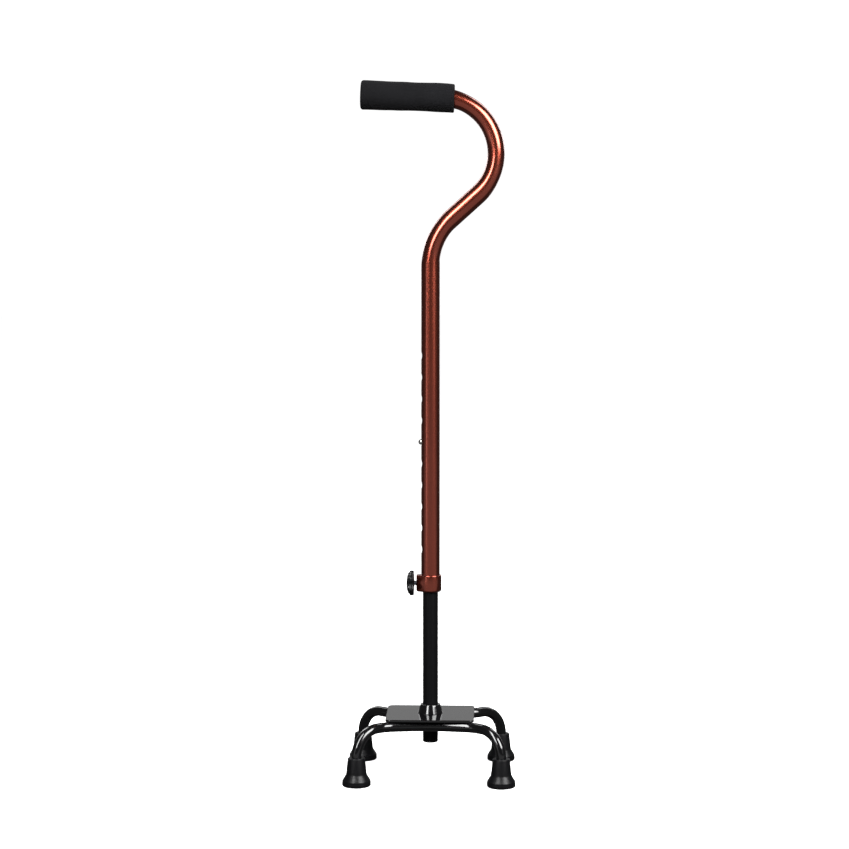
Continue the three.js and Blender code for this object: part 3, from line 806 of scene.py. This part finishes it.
def thread_ridge(foot, low, high):
    """The thread's ridge: its section, drawn point by point and wound up the screw."""
    deselect()
    bpy.ops.mesh.primitive_plane_add(size=MM)
    thread = bpy.context.object
    bpy.ops.object.mode_set(mode="EDIT")
    bpy.ops.mesh.merge(type="CENTER")
    at = None
    for crest, share in THREAD_SECTION:
        to = Vector((SCREW_RADIUS if crest else foot, 0, low + THREAD_PITCH * share))
        if at is None:
            bpy.ops.transform.translate(value=to)
        else:
            bpy.ops.mesh.extrude_region_move(TRANSFORM_OT_translate={"value": to - at})
        at = to
    bpy.ops.object.mode_set(mode="OBJECT")
    apply_modifier(
        thread,
        "thread",
        "SCREW",
        axis="Z",
        angle=TURN,
        screw_offset=THREAD_PITCH,
        iterations=int((high - low) / THREAD_PITCH) - 1,
        steps=48,
        render_steps=48,
        use_merge_vertices=True,
        merge_threshold=0.001 * MM,
    )
    close_up(thread, fill=True)
    thread.matrix_world = facing_left(SCREW_HEIGHT)
    apply_place(thread)
    return thread


def star(radius, depth):
    """A star outline: its lobes reach the radius, and the hollows between them lie deeper."""

    def outline(angle):
        return radius - depth / 2 + depth / 2 * math.cos(KNOB_LOBES * angle)

    return outline


def star_knob():
    """A lens-shaped six-lobed knob with rounded edges and a raised ring round its back."""
    back, front = -KNOB_HIGH.x, -KNOB_LOW.x
    rim = (KNOB_HIGH.z - KNOB_LOW.z) / 2
    ring = KNOB_BACK_RING
    profile = [(SCREW_RADIUS, back), (KNOB_NECK, back), (KNOB_NECK + ring, back + ring)]
    profile.append((star(rim - 1.6 * MM, KNOB_LOBE_DEPTH * 0.8), back + ring))
    width, rise = KNOB_BACK_EDGE
    for turn in quarter_turn(5):
        outline = star(rim - width * (1 - math.sin(turn)), KNOB_LOBE_DEPTH)
        profile.append((outline, back + ring + rise * (1 - math.cos(turn))))
    width, rise = KNOB_FRONT_EDGE
    for turn in quarter_turn(5):
        depth = KNOB_LOBE_DEPTH * (1 - 0.2 * turn / (TURN / 4))
        outline = star(rim - width * (1 - math.cos(turn)), depth)
        profile.append((outline, back + KNOB_RIM_HEIGHT + rise * math.sin(turn)))
    shoulder = back + KNOB_RIM_HEIGHT + rise
    for share in KNOB_CROWN:
        depth = KNOB_LOBE_DEPTH * max(0, share - 0.5) * 1.6
        height = (front - shoulder) * math.sqrt(1 - (share / KNOB_CROWN_BASE) ** 2)
        outline = star((rim - width) * share / KNOB_CROWN_RIM, depth)
        profile.append((outline, shoulder + height))
    profile.append((0, front))
    piece = turned("star_knob", profile, sides=96, place=facing_left(SCREW_HEIGHT))
    finish(piece, "lock_knob", "black_plastic", "moulded_plastic", "lock_knob", edge=40)


# ---------------------------------------------------------------- post and snap button


def post():
    """The straight steel post, with the hole that its button stands in."""
    route = Route((0, 0, POST_LOW.z), Z_AXIS).straight(POST_HIGH.z - POST_LOW.z, rings=60)
    piece = tube("black_post", route, POST_RADIUS)
    apply_modifier(piece, "wall", "SOLIDIFY", thickness=TUBE_WALL, offset=-1)
    cut(piece, hole_cutter("button_drill", HOLE_RADIUS - FIT, BUTTON_HEIGHT, POST_RADIUS))
    finish(piece, "base", "satin_black_steel", "satin_powder", "lower_shaft")


def post_plug():
    """The black cap in the post's lower end: a rounded rim, and a shallow sink in its face."""
    low, high = POST_PLUG_LOW.z, POST_PLUG_HIGH.z
    seat = POST_LOW.z
    spigot = POST_RADIUS - TUBE_WALL - FIT
    edge = POST_PLUG_EDGE
    profile = [(3 * MM, low + 0.5 * MM), (3.4 * MM, low + 0.05 * MM), (POST_RADIUS - 3 * MM, low)]
    profile += arc((POST_RADIUS - edge, low + edge), edge, -80, 0, steps=5)
    profile += [(POST_RADIUS, seat), (spigot, seat), (spigot, high - MM), (spigot - MM, high)]
    piece = turned("post_end_plug", profile)
    finish(piece, "base", "black_plastic", "moulded_plastic", "shaft_bottom_plug")


def snap_button():
    """A plated button: a thin flange inside the post and a domed head through both tubes."""
    back, tip = -BUTTON_HIGH.x, -BUTTON_LOW.x
    flange = (BUTTON_HIGH.y - BUTTON_LOW.y) / 2
    radius = BUTTON_HEAD_RADIUS
    shoulder = back + BUTTON_FLANGE
    dome = tip - SHAFT_RADIUS
    profile = [(flange, back), (flange, shoulder), (radius, shoulder)]
    for turn in quarter_turn(10)[:-1]:
        profile.append((radius * math.cos(turn), SHAFT_RADIUS + dome * math.sin(turn)))
    profile.append((0, tip))
    piece = turned("plated_snap_button", profile, sides=48, place=facing_left(BUTTON_HEIGHT))
    finish(piece, "snap_button", "nickel_plated_steel", "nickel", "snap_button")


# ---------------------------------------------------------------- base


def plate():
    """A pressed steel plate with round corners, rounded edges and a hole for the post."""
    deselect()
    centre = (PLATE_LOW + PLATE_HIGH) / 2
    bpy.ops.mesh.primitive_cube_add(size=1, location=centre, scale=PLATE_HIGH - PLATE_LOW)
    piece = bpy.context.object
    piece.name = "enamelled_plate"
    apply_place(piece)
    bevel_edges(piece, lambda a, b: abs(a.z - b.z) > MM, PLATE_CORNER, 10)
    bevel_edges(piece, lambda a, b: abs(a.z - b.z) < 0.1 * MM, PLATE_EDGE, 4)
    bore = POST_RADIUS + FIT
    cut(piece, turned("plate_hole", [(bore, PLATE_LOW.z - MM), (bore, PLATE_HIGH.z + MM)]))
    finish(piece, "base", "gloss_black_enamel", "gloss_enamel", "base_plate", edge=25)
    apply_modifier(piece, "flat_faces", "WEIGHTED_NORMAL", keep_sharp=True)


def hub():
    """A conical steel boss round the post, with a small foot and a rounded rim."""
    low, high = HUB_LOW.z, HUB_HIGH.z
    base = HUB_HIGH.x
    bore = POST_RADIUS + 0.08 * MM
    profile = [(bore, low), (base, low), (base, low + HUB_FOOT / 2)]
    profile += [(base - 0.1 * MM, low + 0.75 * HUB_FOOT), (base - 0.2 * MM, low + HUB_FOOT)]
    profile.append((HUB_SHOULDER_RADIUS, high - HUB_SHOULDER))
    profile += arc((HUB_RIM_RADIUS - HUB_EDGE, high - HUB_EDGE), HUB_EDGE, 15, 90, steps=5)
    profile += [(bore, high), (bore, low)]
    piece = turned("hub_boss", profile, sides=96)
    finish(piece, "base", "gloss_black_enamel", "gloss_enamel", "base_hub", edge=28)


def leg_route(side):
    """From one tip up, in under the plate, and out and down to the next tip on the same side."""
    knee_trim = LEG_KNEE_RADIUS * math.tan((LEG_SPLAY - LEG_SWEEP) / 2)
    outer_run = LEG_DROP_RADIUS + LEG_KNEE_STRAIGHT + knee_trim
    knee_x = FOOT_X - outer_run * math.cos(LEG_SPLAY)
    knee_y = FOOT_Y - outer_run * math.sin(LEG_SPLAY)
    middle_y = knee_y - knee_x * math.tan(LEG_SWEEP)
    foot = LEG_LOW.z
    left = [
        (-FOOT_X, side * FOOT_Y, foot),
        (-FOOT_X, side * FOOT_Y, LEG_AXIS_HEIGHT),
        (-knee_x, side * knee_y, LEG_AXIS_HEIGHT),
    ]
    right = [(-x, y, z) for x, y, z in reversed(left)]
    corners = [Vector(c) for c in [*left, (0, side * middle_y, LEG_AXIS_HEIGHT), *right]]
    radii = [LEG_DROP_RADIUS, LEG_KNEE_RADIUS, LEG_MIDDLE_RADIUS, LEG_KNEE_RADIUS, LEG_DROP_RADIUS]
    headings = [(b - a).normalized() for a, b in zip(corners, corners[1:])]
    route = Route(corners[0], headings[0])
    spent = 0
    for i, radius in enumerate(radii):
        angle = headings[i].angle(headings[i + 1])
        trim = radius * math.tan(angle / 2)
        route.straight((corners[i + 1] - corners[i]).length - spent - trim)
        route.bend(radius, angle, headings[i].cross(headings[i + 1]).normalized())
        spent = trim
    return route.straight((corners[-1] - corners[-2]).length - spent)


def leg(name, side, node):
    """A bent steel tube that carries two tips. Side is -1 at the front and 1 at the rear."""
    piece = tube(name, leg_route(side), LEG_RADIUS, sides=40)
    apply_modifier(piece, "wall", "SOLIDIFY", thickness=TUBE_WALL, offset=-1)
    finish(piece, "base", "gloss_black_enamel", "gloss_enamel", node)


# ---------------------------------------------------------------- rubber tips


def tip(name, centre, node):
    """A moulded rubber tip: conical neck, flared foot and a ringed tread under its sole."""
    socket = LEG_RADIUS + FIT / 2
    foot, side = (TIP_HIGH.x - TIP_LOW.x) / 2, TIP_FOOT_HEIGHT
    neck, flare = TIP_NECK, TIP_FLARE_HEIGHT
    edge, top = TIP_MOUTH_EDGE, TIP_HIGH.z
    deep = TREAD_DEPTH
    profile = [(2 * MM, TREAD_DIMPLE), (2.4 * MM, 0.05 * MM)]
    for inner in TREAD_GROOVES:
        outer = inner + 1.4 * MM
        profile += [(inner, 0), (inner + 0.3 * MM, deep), (outer - 0.3 * MM, deep), (outer, 0)]
    for turn in quarter_turn(6):
        out = TIP_SOLE + (foot - TIP_SOLE) * math.sin(turn)
        profile.append((out, TIP_SOLE_EDGE * (1 - math.cos(turn))))
    profile += [(foot - 0.05 * MM, side - 2.3 * MM), (foot - 0.3 * MM, side - 0.3 * MM)]
    profile += arc((foot - 1.3 * MM, side), 1.05 * MM, 5, 40, steps=3)
    profile += [(neck + 0.55 * MM, flare - 1.1 * MM), (neck + 0.1 * MM, flare)]
    profile.append((neck, flare + 0.8 * MM))
    profile += arc((TIP_MOUTH - edge, top - edge), edge, 5, 90, steps=5)
    profile += [(socket, top), (socket, top - TIP_SOCKET), (0, top - TIP_SOCKET)]
    piece = turned(name, profile, sides=64, place=Matrix.Translation(centre))
    finish(piece, "base", "black_rubber", "rubber", node)


# ---------------------------------------------------------------- stage


def seen_by_camera_only(piece):
    """Keeps a stage piece out of the cane's reflections, and from lighting or shading it."""
    piece.visible_glossy = False
    piece.visible_diffuse = False
    piece.visible_shadow = False


def make_floor():
    """A wide white floor, just under the soles."""
    material, tree = new_material("white_floor_paint")
    surface = add_node(
        tree,
        "ShaderNodeBsdfPrincipled",
        inputs={
            "Base Color": linear("#f4f4f4"),
            "Roughness": 0.9,
            "Specular IOR Level": 0,
            "Emission Color": linear("#ffffff"),
            "Emission Strength": 0.95,
        },
    )
    add_node(tree, "ShaderNodeOutputMaterial", inputs={"Surface": (surface, "BSDF")})
    deselect()
    bpy.ops.mesh.primitive_circle_add(
        vertices=96, radius=STAGE_RADIUS, fill_type="NGON", location=(0, 0, -FLOOR_GAP)
    )
    floor = bpy.context.object
    floor.name = "floor"
    floor.data.materials.append(material)
    seen_by_camera_only(floor)
    return floor


def make_surround():
    """A glowing white sphere round the whole stage."""
    material, tree = new_material("white_surround")
    glow = add_node(
        tree, "ShaderNodeEmission", inputs={"Color": linear("#ffffff"), "Strength": 1.05}
    )
    add_node(tree, "ShaderNodeOutputMaterial", inputs={"Surface": (glow, "Emission")})
    deselect()
    bpy.ops.mesh.primitive_uv_sphere_add(segments=48, ring_count=24, radius=STAGE_RADIUS)
    surround = bpy.context.object
    surround.name = "surround"
    surround.data.materials.append(material)
    seen_by_camera_only(surround)
    return surround


def make_world():
    """A dim white room that the lights stand in."""
    world = bpy.data.worlds.new("studio_room")
    bpy.context.scene.world = world
    world.use_nodes = True
    tree = world.node_tree
    tree.nodes.clear()
    room = add_node(
        tree, "ShaderNodeBackground", inputs={"Color": linear("#ffffff"), "Strength": 0.06}
    )
    add_node(tree, "ShaderNodeOutputWorld", inputs={"Surface": (room, "Background")})


def make_stage():
    """A white floor that fades into a white surround."""
    make_floor()
    make_surround()
    make_world()
    bpy.context.scene.view_settings.view_transform = "Standard"


# ---------------------------------------------------------------- the whole cane

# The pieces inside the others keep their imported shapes, and only get a material.
CARRIED_OVER = {
    "guide_bush": "natural_nylon",
    "lock_pad": "natural_nylon",
    "lower_shaft_top_bush": "natural_nylon",
    "snap_spring": "spring_steel",
    "front_left_tip_washer": "zinc",
    "front_right_tip_washer": "zinc",
    "rear_left_tip_washer": "zinc",
    "rear_right_tip_washer": "zinc",
}

make_camera()
light_studio()
make_stage()
MATERIALS = make_materials()

upper_shaft()
foam_grip()
handle_plug()
collar()
lock_screw()
star_knob()
post()
post_plug()
snap_button()
plate()
hub()
leg("front_legs", -1, "front_leg_tube")
leg("rear_legs", 1, "rear_leg_tube")
for end, y in (("front", -FOOT_Y), ("rear", FOOT_Y)):
    for hand, x in (("left", -FOOT_X), ("right", FOOT_X)):
        tip(f"rubber_foot_{end}_{hand}", (x, y, 0), f"{end}_{hand}_tip")

for node, material in CARRIED_OVER.items():
    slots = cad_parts[node].data.materials
    slots.clear()
    slots.append(MATERIALS[material])
